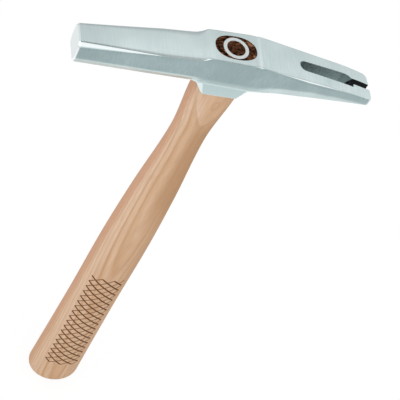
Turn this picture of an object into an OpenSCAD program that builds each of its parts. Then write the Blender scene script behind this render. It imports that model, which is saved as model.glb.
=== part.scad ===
// Upholstery hammer: a ground steel head with a split magnetic end, on a hickory handle
// that a wooden wedge and a steel ring spread in the eye.
// Frame: the origin is the middle of the handle's flat butt end, +Z runs up the handle,
// +X points to the split end of the head and -X to the striking face.

/* [Overall] */
// Height from the butt end to the top of the head
total_h = 306; // [280:1:340]

/* [Head: boss and eye] */
// Length of the eye
eye_l = 19.6; // [18:0.1:21]
// Width of the eye
eye_w = 13.5; // [12:0.1:15]
// Roundness of the eye, where 2 is an ellipse and more is squarer
eye_power = 2.33; // [2:0.01:3]
// Steel left beside the eye
eye_wall = 2.6; // [2:0.1:4]
// Steel left on the flat top between the eye and the ramp to the poll
boss_back = 2.1; // [1.2:0.1:4]
// Steel left on the flat top between the eye and the split arm
boss_front = 1.4; // [0.8:0.1:4]
// Depth of the eye, from the top of the boss to the shoulder's seat
boss_h = 17; // [15:0.1:20]
// Length of the ears below the boss
ear_h = 6.8; // [5:0.1:9]
// Length of an ear's lower edge
ear_l = 18; // [15:0.1:21]
// Length of an ear where it leaves the boss
ear_root_l = 28.5; // [26:0.1:31]
// Thickness of an ear's lower edge
ear_t = 1.6; // [1:0.1:2.2]

/* [Head: poll] */
// Reach of the striking face from the handle's axis
poll_reach = 69.6; // [55:0.1:80]
// Width of the poll at the striking face
poll_w = 13.8; // [12:0.1:15]
// Height of the poll at the striking face
poll_h = 12.8; // [11:0.1:14]
// Width of the poll's arm where it meets the boss
arm_w = 17.1; // [15:0.1:18.5]
// Fall of the arm's top from the boss to the striking face
poll_drop = 6.1; // [3.5:0.1:7.5]
// Step down from the boss to the arm
step_drop = 2.4; // [1:0.1:3.4]
// Length of the ramp from the boss down to the arm
ramp_l = 3.9; // [2.5:0.1:6]
// Chamfer of the arm's top edges at the striking face
poll_chamfer = 1.8; // [0.6:0.1:2.6]
// Bevel round the striking face
face_bevel = 0.7; // [0.3:0.1:1.2]

/* [Head: split end] */
// Reach of the split tip from the handle's axis
split_reach = 71.4; // [64:0.1:82]
// Width of the tip
tip_w = 15.4; // [13:0.1:17]
// Fall of the top from the boss to the tip
tip_drop = 11.6; // [8.5:0.1:13]
// Thickness of the tip
tip_t = 3.7; // [2.8:0.1:5.5]
// Rounding of the tip's corners, seen from above
tip_round = 1.9; // [0.6:0.1:3.2]
// Width of the wide slot between the two magnet legs, at its round end
slot_w = 5.7; // [5:0.1:6.6]
// How much wider the wide slot is at its far end
slot_flare = 1; // [0:0.1:1.6]
// Length of the wide slot
slot_l = 29.1; // [20:0.1:33]
// Width of the gap between the two pole tips
gap_w = 3.2; // [1.6:0.1:3.9]
// Length of the gap between the two pole tips
gap_l = 9.7; // [6:0.1:13]

/* [Head: edges] */
// Small bevel on the ground edges
edge_break = 0.3; // [0.2:0.05:0.5]
// Rounding of the wide slot's far corners
slot_corner = 1.3; // [0.5:0.1:1.6]
// Height of the lower side facet on the poll's arm
low_facet_poll = 3.3; // [2.2:0.1:4.4]
// Height of the lower side facet on the split arm
low_facet_split = 4.5; // [3:0.1:5.5]

/* [Handle] */
// Breadth of the butt, along the head
butt_x = 31.2; // [28:0.1:34]
// Thickness of the butt, across the head
butt_y = 25; // [22:0.1:28]
// Rounding of the butt's edge
butt_round = 7.9; // [5:0.1:9]
// Height of the middle of the grip
grip_h = 87; // [70:1:100]
// Breadth of the grip
grip_x = 28; // [25:0.1:31]
// Thickness of the grip
grip_y = 21.4; // [19:0.1:24]
// Height where the grip starts to taper
swell_h = 151; // [135:1:165]
// Breadth of the handle there
swell_x = 26.8; // [24:0.1:29]
// Thickness of the handle there
swell_y = 20.6; // [18:0.1:23]
// Height of the middle of the taper
taper_h = 196; // [182:1:208]
// Breadth at the middle of the taper
taper_x = 23.6; // [21:0.1:26]
// Thickness at the middle of the taper
taper_y = 18.3; // [16:0.1:20]
// Distance of the narrowest part of the neck below the ears
neck_drop = 37.4; // [30:0.1:46]
// Breadth of the neck
neck_x = 18.3; // [15:0.1:21]
// Thickness of the neck
neck_y = 14.5; // [12.5:0.1:16]
// Length of the flared top of the neck
flare_l = 8; // [5:0.1:12]
// Step of the shoulder round the tenon, along the head
shoulder_step = 1.5; // [0.8:0.1:2.4]

/* [Wedges] */
// Thickness of the wooden wedge at its top
wedge_t = 4.2; // [3.2:0.1:4.8]
// Thickness of the wooden wedge at its lower edge
wedge_foot = 0.9; // [0.5:0.1:1.5]
// Length of the wooden wedge
wedge_l = 14.7; // [12:0.1:16]
// Wood left between the ring wedge and the sides of the eye
ring_margin = 0.7; // [0.4:0.1:1.6]
// Wall of the ring wedge at its top
ring_wall = 1.8; // [1.3:0.1:2.2]
// Length of the ring wedge
ring_l = 10.3; // [7.5:0.1:11]

/* [Hidden] */

// Clearance drawn in every driven fit, and between the ears and the shoulder
fit = 0.05;
ear_clear = 0.1;
// Depth of the wood and of the two wedges below the top of the boss
wood_sink = 0.3;
wedge_sink = 0.2;
ring_sink = 0.1;
// Thickness of the ring wedge's driven edge
ring_edge = 0.3;
// How far the ears stand proud of the wood below them
ear_lip = 0.4;
// An ear's ends are cut back in plan by these lengths, at the root and at the foot
ear_cut_back = 3.7;
ear_cut_front = 3.2;
ear_cut_foot = 0.9;
// Overlap that joins two solids of one piece, and the reach of a cut past what it cuts
bite = 0.4;
past = 1;
// Points round an oval section
oval_points = 48;
// The handle's section is an ellipse below the neck
grip_power = 2;
// Narrowing of the handle at the foot of its flared top
flare_step = 0.3;
// Side facets run in by these shares of their height
draft_poll = 0.45;
draft_boss = 0.09;
draft_split = 0.27;
// Where the arm's top chamfers start, and where the split arm starts to narrow
chamfer_start = 0.3;
narrow_start = 0.42;

head_z = total_h;
seat_z = head_z - boss_h;
ear_z = seat_z - ear_h;
boss_w = eye_w + 2 * eye_wall;
pocket_w = eye_w + 2 * ear_clear;
back_x = eye_l / 2 + boss_back;
front_x = eye_l / 2 + boss_front;
arm_x = back_x + ramp_l;
shoulder_x = eye_l + 2 * shoulder_step;
shoulder_y = pocket_w + 2 * ear_t - 2 * ear_lip;
ring_d = eye_w - 2 * ring_margin;

function lerp(a, b, t) = a + (b - a) * t;
function clamp(t) = max(0, min(1, t));
function ease(t) = t * t * (3 - 2 * t);

// Oval with half sizes a and b: a superellipse, |x/a|^p + |y/b|^p = 1
function oval(a, b, p) = [
    for (i = [0 : oval_points - 1])
        let (t = 360 * i / oval_points)
        [a * sign(cos(t)) * pow(abs(cos(t)), 2 / p),
         b * sign(sin(t)) * pow(abs(sin(t)), 2 / p)]
];

// Solid skin over a stack of rings that all have the same number of points
module skin(rings) {
    n = len(rings[0]);
    m = len(rings);
    points = [for (ring = rings) for (point = ring) point];
    sides = [
        for (j = [0 : m - 2]) for (i = [0 : n - 1])
            let (k = (i + 1) % n, a = j * n + i, b = j * n + k, c = (j + 1) * n + k, d = (j + 1) * n + i)
            each [[a, d, c], [a, c, b]]
    ];
    low = [for (i = [0 : n - 1]) i];
    high = [for (i = [n - 1 : -1 : 0]) (m - 1) * n + i];
    polyhedron(points = points, faces = concat(sides, [low, high]), convexity = 6);
}

// Head, measured down from the top of the boss.
// share_poll runs from 0 at the foot of the ramp to 1 at the striking face,
// share_boss from 0 at the front of the boss to 1 at the foot of the ramp,
// share_split from 0 at the front of the boss to 1 at the tip.
function share_poll(x) = clamp((-x - arm_x) / (poll_reach - arm_x));
function share_boss(x) = clamp((front_x - x) / (front_x + arm_x));
function share_ramp(x) = ease(clamp((-x - back_x) / ramp_l));
function share_split(x) = clamp((x - front_x) / (split_reach - front_x));
function head_top(x) = x < 0
    ? step_drop * share_ramp(x) + (poll_drop - step_drop) * pow(share_poll(x), 0.95)
    : tip_drop * (0.88 * share_split(x) + 0.12 * pow(share_split(x), 6));
function head_bottom(x) = x < 0
    ? boss_h + (poll_drop + poll_h - boss_h) * pow(share_poll(x), 0.8)
    : lerp(tip_drop + tip_t, boss_h, pow(1 - share_split(x), 2));
function corner_cut(x) = let (d = max(0, x - (split_reach - tip_round)))
    tip_round - sqrt(max(0, tip_round * tip_round - d * d));
function rim_cut(x) = max(0, face_bevel - (x + poll_reach));
// The sides are flat from the front of the boss to the arm, and from there to the face
function head_side(x) = x < front_x
    ? lerp(lerp(boss_w, arm_w, share_boss(x)), poll_w, share_poll(x)) / 2 - rim_cut(x)
    : lerp(boss_w, tip_w, clamp((share_split(x) - narrow_start) / (1 - narrow_start))) / 2
      - corner_cut(x);
function top_bevel(x) =
    let (s = clamp((share_poll(x) - chamfer_start) / (1 - chamfer_start)))
    edge_break + (poll_chamfer - edge_break) * s * (2 - s);
function low_facet(x) = x < 0
    ? low_facet_poll
    : lerp(low_facet_poll, low_facet_split, ease(clamp(share_split(x) / 0.3)))
      * clamp((1.02 - share_split(x)) / 0.55);
function draft(x) = x < 0
    ? lerp(draft_boss, draft_poll, share_ramp(x))
    : lerp(draft_boss, draft_split, ease(clamp(share_split(x) * 4)));

// Half outline of the head at x, from the middle of its top to the middle of its underside
function head_half(x) =
    let (
        top = head_top(x) + rim_cut(x),
        bottom = head_bottom(x) - rim_cut(x),
        side = head_side(x),
        bevel = top_bevel(x),
        facet = max(low_facet(x), edge_break)
    )
    [[side - bevel, top], [side, top + bevel],
     [side, bottom - facet], [side - max(draft(x) * facet, edge_break), bottom]];
function head_ring(x) =
    let (half = head_half(x))
    [for (p = half) [x, -p[0], head_z - p[1]],
     for (i = [3 : -1 : 0]) [x, half[i][0], head_z - half[i][1]]];

// Stations are close where the head curves quickly
head_stations = concat(
    [-poll_reach, -poll_reach + face_bevel],
    [for (i = [1 : 9]) lerp(-poll_reach + face_bevel, -arm_x, i / 9)],
    [for (i = [1 : 5]) lerp(-arm_x, -back_x, i / 5)],
    [for (i = [0 : 12]) lerp(front_x, split_reach - tip_round, i / 12)],
    [for (i = [1 : 6]) split_reach - tip_round * (1 - sin(15 * i))]
);

// One ear: a plate that hangs from the boss beside the eye, with its ends cut back.
// back and front are its outer corners as [x, y]
module ear_slice(z, length, back, front) {
    inner = pocket_w / 2;
    translate([0, 0, z])
        linear_extrude(0.01)
            polygon([[-length / 2, inner], back, front, [length / 2, inner]]);
}
// The root's outer corners are flush with the lower edge of the boss
function ear_root(x) = [x, head_side(x) - draft_boss * low_facet_poll];
module ear() {
    foot_x = ear_l / 2 - ear_cut_foot;
    foot_y = pocket_w / 2 + ear_t;
    hull() {
        ear_slice(seat_z + bite, ear_root_l, ear_root(-ear_root_l / 2 + ear_cut_back),
                  ear_root(ear_root_l / 2 - ear_cut_front));
        ear_slice(ear_z, ear_l, [-foot_x, foot_y], [foot_x, foot_y]);
    }
}

// Opening between the magnet legs: a long slot with a round end, then the pole gap
module split_opening() {
    far_x = split_reach - gap_l;
    round_x = far_x - slot_l + slot_w / 2;
    far_r = (slot_w + slot_flare) / 2;
    corner_x = far_x - slot_corner;
    function corner(i) = [corner_x + slot_corner * sin(15 * i),
                          far_r - slot_corner + slot_corner * cos(15 * i)];
    translate([0, 0, seat_z - boss_h])
        linear_extrude(3 * boss_h) {
            translate([round_x, 0])
                circle(d = slot_w, $fn = 48);
            polygon([
                [round_x, slot_w / 2],
                for (i = [0 : 6]) corner(i),
                for (i = [6 : -1 : 0]) [corner(i)[0], -corner(i)[1]],
                [round_x, -slot_w / 2]
            ]);
            translate([corner_x, -gap_w / 2])
                square([gap_l + slot_corner + past, gap_w]);
        }
}

module eye_hole(gap) {
    translate([0, 0, ear_z])
        linear_extrude(2 * boss_h + ear_h)
            polygon(oval(eye_l / 2 - gap, eye_w / 2 - gap, eye_power));
}

module hammer_head() {
    color("lightsteelblue")
        difference() {
            union() {
                skin([for (x = head_stations) head_ring(x)]);
                ear();
                mirror([0, 1, 0])
                    ear();
            }
            eye_hole(0);
            split_opening();
        }
}

// Handle, measured up from the butt. Each row is a height, half the breadth and half the thickness
handle_rows = [
    [0, butt_x / 2, butt_y / 2],
    [grip_h, grip_x / 2, grip_y / 2],
    [swell_h, swell_x / 2, swell_y / 2],
    [taper_h, taper_x / 2, taper_y / 2],
    [ear_z - neck_drop, neck_x / 2, neck_y / 2],
    [ear_z - flare_l, shoulder_x / 2 - flare_step, shoulder_y / 2 - flare_step / 2],
    [ear_z, shoulder_x / 2, shoulder_y / 2]
];
last_row = len(handle_rows) - 1;
function slope(i, k) =
    let (a = max(i - 1, 0), b = min(i + 1, last_row))
    (handle_rows[b][k] - handle_rows[a][k]) / (handle_rows[b][0] - handle_rows[a][0]);
function row_below(z) = max([for (i = [0 : last_row - 1]) handle_rows[i][0] <= z ? i : 0]);

// Smooth curve through the rows: a cubic between each two, with the slopes of its neighbours
function handle_half(z, k) =
    let (
        i = row_below(z),
        span = handle_rows[i + 1][0] - handle_rows[i][0],
        t = (z - handle_rows[i][0]) / span,
        a = handle_rows[i][k],
        b = handle_rows[i + 1][k]
    )
    a * (1 + 2 * t) * pow(1 - t, 2) + b * t * t * (3 - 2 * t)
    + span * (slope(i, k) * t * pow(1 - t, 2) - slope(i + 1, k) * t * t * (1 - t));
function handle_power(z) =
    lerp(grip_power, eye_power, ease(clamp((z - ear_z + neck_drop) / neck_drop)));

// The butt's edge is a quarter round
function butt_cut(z) = let (d = max(0, butt_round - z))
    butt_round - sqrt(max(0, butt_round * butt_round - d * d));
function handle_ring(z) =
    let (h = min(z, ear_z), a = handle_half(h, 1) - butt_cut(h), b = handle_half(h, 2) - butt_cut(h))
    [for (p = oval(a, b, handle_power(h))) [p[0], p[1], z]];

// The skin runs on from the ears to the shoulder's seat under the boss
handle_stations = concat(
    [for (i = [0 : 9]) butt_round * (1 - cos(9 * i))],
    [for (i = [0 : 40]) lerp(butt_round, ear_z, i / 40)],
    [seat_z - fit]
);

// Flat cheek beside the shoulder, where an ear goes
module cheek() {
    translate([-shoulder_x, pocket_w / 2 - fit, ear_z - fit])
        cube([2 * shoulder_x, shoulder_y, ear_h + past]);
}

// Groove for the ring wedge; gap is the clearance round the steel
module ring_profile(gap) {
    outer = ring_d / 2 + gap;
    inner = ring_d / 2 - ring_wall - gap;
    rise = ring_l + gap + ring_sink + past;
    // The ring's inner face leans out at the same slope above its top
    lean = (ring_wall - ring_edge) / ring_l;
    translate([0, 0, head_z - ring_sink - ring_l - gap])
        rotate_extrude($fn = 96)
            polygon([
                [outer - ring_edge - 2 * gap, 0],
                [outer, 0],
                [outer, rise],
                [inner - lean * (rise - ring_l - gap), rise]
            ]);
}

// Wedge-shaped slice along the eye, thick at the top
module kerf(gap, top_z) {
    foot_z = head_z - wedge_sink - wedge_l - gap;
    lean = (wedge_t - wedge_foot) / 2 / wedge_l;
    low = wedge_foot / 2 + gap;
    high = low + lean * (top_z - foot_z);
    translate([-eye_l, 0, 0])
        rotate([90, 0, 90])
            linear_extrude(2 * eye_l)
                polygon([[-low, foot_z], [low, foot_z], [high, top_z], [-high, top_z]]);
}

module handle() {
    color("burlywood")
        difference() {
            union() {
                difference() {
                    skin([for (z = handle_stations) handle_ring(z)]);
                    cheek();
                    mirror([0, 1, 0])
                        cheek();
                }
                // Tenon in the eye
                translate([0, 0, seat_z - fit - bite])
                    linear_extrude(boss_h - wood_sink + fit + bite)
                        polygon(oval(eye_l / 2 - fit, eye_w / 2 - fit, eye_power));
            }
            kerf(fit, head_z + past);
            ring_profile(fit);
        }
}

module kerf_wedge() {
    color("tan")
        difference() {
            intersection() {
                kerf(0, head_z - wedge_sink);
                eye_hole(fit);
            }
            ring_profile(fit);
        }
}

module ring_wedge() {
    color("silver")
        intersection() {
            ring_profile(0);
            cylinder(h = head_z - ring_sink, d = 2 * ring_d, $fn = 48);
        }
}

hammer_head();
handle();
kerf_wedge();
ring_wedge();
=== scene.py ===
# %% [markdown]
# # An upholstery hammer, dressed for its picture
#
# The hammer is four real pieces: a ground steel head with a split magnetic end, a hickory
# handle, a wooden wedge in a saw kerf and a round steel ring wedge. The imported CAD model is
# the frame, and every surface is worked out in its millimetres and in its place.

# %% Load the frame
import contextlib
import math

import bmesh
import bpy
import numpy as np
from mathutils import Matrix


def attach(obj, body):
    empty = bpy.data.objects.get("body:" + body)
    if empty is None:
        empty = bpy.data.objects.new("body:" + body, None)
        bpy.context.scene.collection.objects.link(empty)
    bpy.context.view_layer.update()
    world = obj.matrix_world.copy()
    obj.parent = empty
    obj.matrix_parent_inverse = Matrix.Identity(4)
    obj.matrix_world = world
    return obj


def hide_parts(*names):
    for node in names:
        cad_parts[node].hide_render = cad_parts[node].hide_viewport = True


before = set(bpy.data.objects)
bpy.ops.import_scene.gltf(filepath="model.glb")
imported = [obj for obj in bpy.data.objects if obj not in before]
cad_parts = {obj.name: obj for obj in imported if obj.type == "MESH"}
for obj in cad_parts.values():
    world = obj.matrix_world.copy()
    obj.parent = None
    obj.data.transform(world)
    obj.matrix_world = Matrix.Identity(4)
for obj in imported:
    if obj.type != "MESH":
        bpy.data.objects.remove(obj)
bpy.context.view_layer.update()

# %% [markdown]
# ## The camera
#
# The camera comes first. Its place was fitted to the straight edges of the head, the eye's
# oval and the handle's outline: it stands in front and to the left, looks down by 49 degrees,
# and is rolled by 33 degrees, so that the handle runs towards the lower left corner.

# %% Set the camera
MM = 0.001
CAMERA_PLACE = (-201.42, -353.60, 675.65)
RIGHT = (0.92809, -0.11255, 0.35492)
DOWN = (0.11064, -0.82680, -0.55150)
FORWARD = (0.35553, 0.55112, -0.75490)
LENS, SENSOR = 112.804, 36.0
NEAREST = 10.0


def placed(right, up, back, place):
    """A matrix of four columns: right, up, the way back from what is seen, and the place."""
    matrix = np.eye(4)
    matrix[:3] = np.column_stack([right, up, back, place])
    return Matrix(matrix.tolist())


camera = bpy.data.objects.new("camera", bpy.data.cameras.new("camera"))
camera.data.lens = LENS
camera.data.sensor_width = SENSOR
camera.data.clip_start = NEAREST * MM
camera.matrix_world = placed(RIGHT, -np.array(DOWN), -np.array(FORWARD),
                             np.array(CAMERA_PLACE) * MM)
bpy.context.scene.collection.objects.link(camera)
bpy.context.scene.camera = camera
bpy.context.scene.view_settings.view_transform = "Standard"
print("camera at", CAMERA_PLACE, "and lens", LENS, "in mm")

# %% [markdown]
# ## Helpers for surfaces
#
# A ring is a closed row of points, and a stack of rings is a surface. All rings of a piece
# are worked out at once as one array of shape (rings, points, 3), so no loop ever visits a
# vertex. Sharp corners look false, since even a ground edge has a tiny round that catches
# the light, so outlines go through `soften` before they are stacked.

# %% Blending numbers
TINY = 1e-9


def blend(a, b, t):
    """a where t is 0 and b where t is 1, in a straight line between."""
    return a + (b - a) * t


def ease(t):
    """Smooth step: 3t^2 - 2t^3, flat at both ends."""
    return t * t * (3 - 2 * t)


def share(value, start, end):
    """How far value is on its way from start to end, held between 0 and 1."""
    return np.clip((value - start) / (end - start), 0.0, 1.0)


def bump(value, start, end):
    """0 outside start..end and 1 in the middle of it: the sine of half a turn, squared."""
    return np.sin(np.pi * share(value, start, end)) ** 2


print("ease:", ease(np.array([0.25, 0.5, 0.75])))

# %% Softening corners
def soften(corners, reach, steps=4):
    """Rounds the corners of closed outlines, given as an array (..., corners, 2).

    Each corner becomes a quadratic curve from `reach` before it to `reach` after it, and
    takes at most 0.48 of a short side.
    """
    reach = np.broadcast_to(np.asarray(reach, float), corners.shape[:-1])
    ends = []
    for shift in (1, -1):
        side = np.roll(corners, shift, axis=-2) - corners
        length = np.maximum(np.linalg.norm(side, axis=-1), TINY)
        take = np.minimum(reach, 0.48 * length) / length
        ends.append((corners + side * take[..., None])[..., None, :])
    t = np.linspace(0, 1, steps + 1)[:, None]
    curve = (1 - t) ** 2 * ends[0] + 2 * t * (1 - t) * corners[..., None, :] + t * t * ends[1]
    return curve.reshape(*corners.shape[:-2], -1, 2)


square = np.array([(-1, -1), (1, -1), (1, 1), (-1, 1)], float)
print("a softened square has", len(soften(square, 0.3)), "points")

# %% Stacking rings into a mesh
@contextlib.contextmanager
def edited(mesh):
    """Opens a mesh for bmesh operations and writes it back after them."""
    shape = bmesh.new()
    shape.from_mesh(mesh)
    yield shape
    shape.to_mesh(mesh)
    shape.free()


def lifted(outlines, z):
    """Flat outlines, an array (rings, points, 2), as rings at the heights z."""
    rise = np.broadcast_to(np.asarray(z)[:, None, None], (*outlines.shape[:2], 1))
    return np.concatenate([outlines, rise], -1)


def stack(rings, name, low_cap=True, high_cap=True):
    """Joins each ring to the next with quads and closes the two ends with a flat face."""
    rows, around = rings.shape[:2]
    i = np.arange(around)
    j = np.arange(rows - 1)[:, None] * around
    k = (i + 1) % around
    quads = np.stack([j + i, j + k, j + around + k, j + around + i], axis=-1).reshape(-1, 4)
    faces = quads.tolist()
    if low_cap:
        faces.append(i[::-1].tolist())
    if high_cap:
        faces.append((i + (rows - 1) * around).tolist())
    mesh = bpy.data.meshes.new(name)
    mesh.from_pydata((rings.reshape(-1, 3) * MM).tolist(), [], faces)
    mesh.validate()
    with edited(mesh) as shape:
        bmesh.ops.recalc_face_normals(shape, faces=shape.faces)
    piece = bpy.data.objects.new(name, mesh)
    bpy.context.scene.collection.objects.link(piece)
    return piece


sample = stack(lifted(np.array([square, square]), [0.0, 3.0]), "sample")
print("a slab has", len(sample.data.polygons), "faces")

# %% Reading a mesh
def read(items, name, size, kind=float):
    """One property of all points, faces or corners, as an array with a row for each."""
    values = np.empty(len(items) * size, kind)
    items.foreach_get(name, values)
    return values.reshape(-1, size)


def report(piece):
    """Prints a piece's name, triangles and box in millimetres."""
    points = read(piece.data.vertices, "co", 3) / MM
    sides = read(piece.data.polygons, "loop_total", 1, int)
    low, high = points.min(axis=0).round(2).tolist(), points.max(axis=0).round(2).tolist()
    print(piece.name, (sides - 2).sum(), "triangles, box", low, high)


report(sample)
bpy.data.objects.remove(sample)

# %% Carving and smoothing
MERGE = 0.002


def carve(piece, tool, operation="DIFFERENCE"):
    """Cuts the tool out of the piece, joins the two or keeps what they share. The tool goes."""
    cut = piece.modifiers.new("carve", "BOOLEAN")
    cut.operation = operation
    cut.solver = "EXACT"
    cut.object = tool
    depsgraph = bpy.context.evaluated_depsgraph_get()
    result = bpy.data.meshes.new_from_object(piece.evaluated_get(depsgraph))
    piece.modifiers.clear()
    piece.data = result
    bpy.data.objects.remove(tool)
    report(piece)


def smooth_shade(piece, sharp_degrees=32.0):
    """Smooth faces, except over edges that turn by more than the given angle."""
    with edited(piece.data) as shape:
        bmesh.ops.remove_doubles(shape, verts=shape.verts, dist=MERGE * MM)
        bmesh.ops.dissolve_degenerate(shape, edges=shape.edges, dist=MERGE * MM)
    piece.data.shade_smooth()
    piece.data.set_sharp_from_angle(angle=math.radians(sharp_degrees))
    even = piece.modifiers.new("even", "WEIGHTED_NORMAL")
    even.keep_sharp = True
    report(piece)
    return piece

# %% [markdown]
# ## The steel head
#
# The real head is one forging, ground all over: a slim poll with chamfered top edges, a boss
# with the eye, two ears and a split end that narrows like a leaf. A subdivided cage could
# give the sweep, but its flat ground facets would swell. So the head is a section that
# changes along X. A few functions say where its top, side and underside lie at each X, with
# the measures of the CAD solid.

# %% The head's measures, in millimetres
HEAD_Z, BOSS_H, EAR_H = 306.0, 17.0, 6.8
SEAT_Z = HEAD_Z - BOSS_H
EAR_Z = SEAT_Z - EAR_H
EYE_L, EYE_W, EYE_POWER, EYE_WALL = 19.6, 13.5, 2.33, 2.6
BOSS_W = EYE_W + 2 * EYE_WALL
# The boss's flat top ends at BACK_X and FRONT_X, and the ramp to the poll at ARM_X
BOSS_BACK, BOSS_FRONT, RAMP_L = 2.1, 1.4, 3.9
BACK_X, FRONT_X = EYE_L / 2 + BOSS_BACK, EYE_L / 2 + BOSS_FRONT
ARM_X = BACK_X + RAMP_L
POLL_REACH, POLL_W, POLL_H, ARM_W = 69.6, 13.8, 12.8, 17.1
POLL_DROP, STEP_DROP, POLL_CHAMFER, FACE_BEVEL = 6.1, 2.4, 1.8, 0.7
SPLIT_REACH, TIP_W, TIP_DROP, TIP_T, TIP_ROUND = 71.4, 15.4, 11.6, 3.7, 1.9
EDGE_BREAK, CHAMFER_START = 0.07, 0.3
LOW_FACET_POLL, LOW_FACET_SPLIT = 3.3, 4.5
DRAFT_POLL, DRAFT_BOSS, DRAFT_SPLIT = 0.45, 0.09, 0.27
print("the head is", POLL_REACH + SPLIT_REACH, "mm long and its boss", BOSS_W, "mm wide")

# %% The head's curves along X
def poll_share(x):
    """0 at the foot of the ramp, 1 at the striking face."""
    return share(-x, ARM_X, POLL_REACH)


def ramp_share(x):
    """0 on the boss, 1 on the poll's arm, eased in between."""
    return ease(share(-x, BACK_X - 0.3, ARM_X + 1.4))


def split_share(x):
    """0 at the front of the boss, 1 at the split tip."""
    return share(x, FRONT_X, SPLIT_REACH)


def sweep(s):
    """Fall of the split arm's top at the share s of its way: nearly straight, steeper at last."""
    return TIP_DROP * (0.88 * s + 0.12 * s ** 6)


def head_top(x):
    """Depth of the top below the boss: a step and a slow fall to the poll, a sweep to the tip."""
    poll = STEP_DROP * ramp_share(x) + (POLL_DROP - STEP_DROP) * poll_share(x) ** 0.95
    return np.where(x < 0, poll, sweep(split_share(x)))


def head_bottom(x):
    """Depth of the underside: nearly level to the poll, a parabola up to the thin tip."""
    poll = BOSS_H + (POLL_DROP + POLL_H - BOSS_H) * poll_share(x) ** 0.8
    split = blend(TIP_DROP + TIP_T, BOSS_H, (1 - split_share(x)) ** 2)
    return np.where(x < 0, poll, split)


def head_side(x):
    """Half the width, which tapers evenly from the boss's front to the striking face.

    The split arm keeps the boss's width at first, and the tip's corners are quarter rounds.
    """
    d = np.maximum(0, x - (SPLIT_REACH - TIP_ROUND))
    corner = TIP_ROUND - np.sqrt(np.maximum(0, TIP_ROUND**2 - d**2))
    arm = blend(BOSS_W, ARM_W, share(-x, -FRONT_X, ARM_X))
    poll = blend(arm, POLL_W, poll_share(x)) / 2
    split = blend(BOSS_W, TIP_W, share(split_share(x), 0.42, 1)) / 2 - corner
    return np.where(x < FRONT_X, poll, split)


print("half widths at the face, the boss and the tip:",
      head_side(np.array([-POLL_REACH, 0.0, SPLIT_REACH - TIP_ROUND])).round(2))

# %% [markdown]
# ## One section of the head
#
# Cut across, the head is a block with its two upper edges chamfered and its sides folded
# inwards near the bottom. On the real hammer the chamfers fade out on the way to the boss and
# the folds run out at the split end, so each is a corner of the section that moves as X
# changes. Moving corners keeps every facet flat, which a bevel modifier would not.

# %% The chamfer along the top's edge
RAMP_SWELL, RIDGE_SWELL, ARM_SWELL, BEVEL_LOSS = 0.4, 0.45, 0.6, 0.59


def edge_chamfer(x, inset):
    """Width of the chamfer at stations x.

    It grows from a bare break of the edge to the poll's full chamfer, and is narrower where
    the face's bevel draws the section in. It swells a little on the ramp, at the ridge in
    front of the boss and along the split arm.
    """
    grow = share(poll_share(x), CHAMFER_START, 1)
    poll = EDGE_BREAK + (POLL_CHAMFER - EDGE_BREAK) * grow * (1.25 - 0.25 * grow)
    swell = (RAMP_SWELL * bump(x, -ARM_X - 0.6, -BACK_X + 0.6)
             + RIDGE_SWELL * bump(x, FRONT_X - 1.8, FRONT_X + 1.6) + ARM_SWELL * bump(x, 14, 62))
    return poll + swell - BEVEL_LOSS * np.minimum(inset, FACE_BEVEL) * (x < 0)


print("chamfer at the face, the ramp and the arm's middle:",
      edge_chamfer(np.array([-POLL_REACH, -ARM_X + 2.0, 38.0]), 0).round(2))

# %% The head's sections
TOP_CROWN, EDGE_FALL, CHAMFER_SLOPE = 0.08, 0.22, 0.88


def head_rings(x, inset):
    """Closed sections of the head at stations x, each drawn in by its inset.

    The top is a hair higher along its middle. From there half a section has five corners:
    where the top starts to fall to its edge, the chamfer's two, the ridge over the lower
    side facet, and the lower edge, which runs in by the draft. The other half mirrors it.
    """
    ramp, poll, split = ramp_share(x), poll_share(x), split_share(x)
    chamfer = edge_chamfer(x, inset)
    fall_w = 0.3 + 2.1 * ramp * (1 - 0.85 * poll ** 0.8)
    facet = blend(LOW_FACET_POLL, LOW_FACET_SPLIT, ease(share(split, 0, 0.3)))
    facet = np.maximum(facet * share(1.02 - split, 0, 0.55), EDGE_BREAK)
    draft = np.where(x < 0, blend(DRAFT_BOSS, DRAFT_POLL, ramp),
                     blend(DRAFT_BOSS, DRAFT_SPLIT, ease(share(split, 0, 0.25))))
    side, top = head_side(x) - inset, head_top(x) + 0.6 * inset
    low = head_bottom(x) - inset
    edge = top + (TOP_CROWN + EDGE_FALL * fall_w)
    y = np.stack([side - chamfer - fall_w, side - chamfer, side, side,
                  side - np.maximum(draft * facet, EDGE_BREAK)], -1)
    z = np.stack([top + TOP_CROWN, edge, edge + CHAMFER_SLOPE * chamfer, low - facet, low], -1)
    half = np.stack([y, HEAD_Z - z], -1)
    middle = np.stack([np.zeros_like(x), HEAD_Z - top], -1)[:, None]
    mirrored = half[:, ::-1] * [-1, 1]
    # How far each corner's round reaches: the middle of the top, then the five corners
    one = np.ones_like(x)
    reach = np.stack([fall_w, 0.1 + 0.15 * chamfer, 1.2 * one, 1.1 * one, 0.15 * one], -1)
    reach = np.concatenate([9.0 * one[:, None], reach, reach[:, ::-1]], axis=1)
    outline = soften(np.concatenate([middle, half, mirrored], axis=1), reach, steps=6)
    along = np.broadcast_to(x[:, None, None], (*outline.shape[:2], 1))
    return np.concatenate([along, outline], -1)

# %% [markdown]
# ## From sections to a solid
#
# The stations crowd where the shape changes fast: over the face's bevel, on the ramp behind
# the boss and round the tip's corners. A bevel is an inset that grows while X hardly moves,
# so the same stack of sections also makes both ends of the head.

# %% Stack the head's sections
def profile(points, reach, steps=4):
    """An open bent line with softened corners; its first and last points stay."""
    points = np.array(points, float)
    curve = soften(points, reach, steps).reshape(len(points), steps + 1, 2)
    return np.concatenate([points[:1], curve[1:-1].reshape(-1, 2), points[-1:]])


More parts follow.
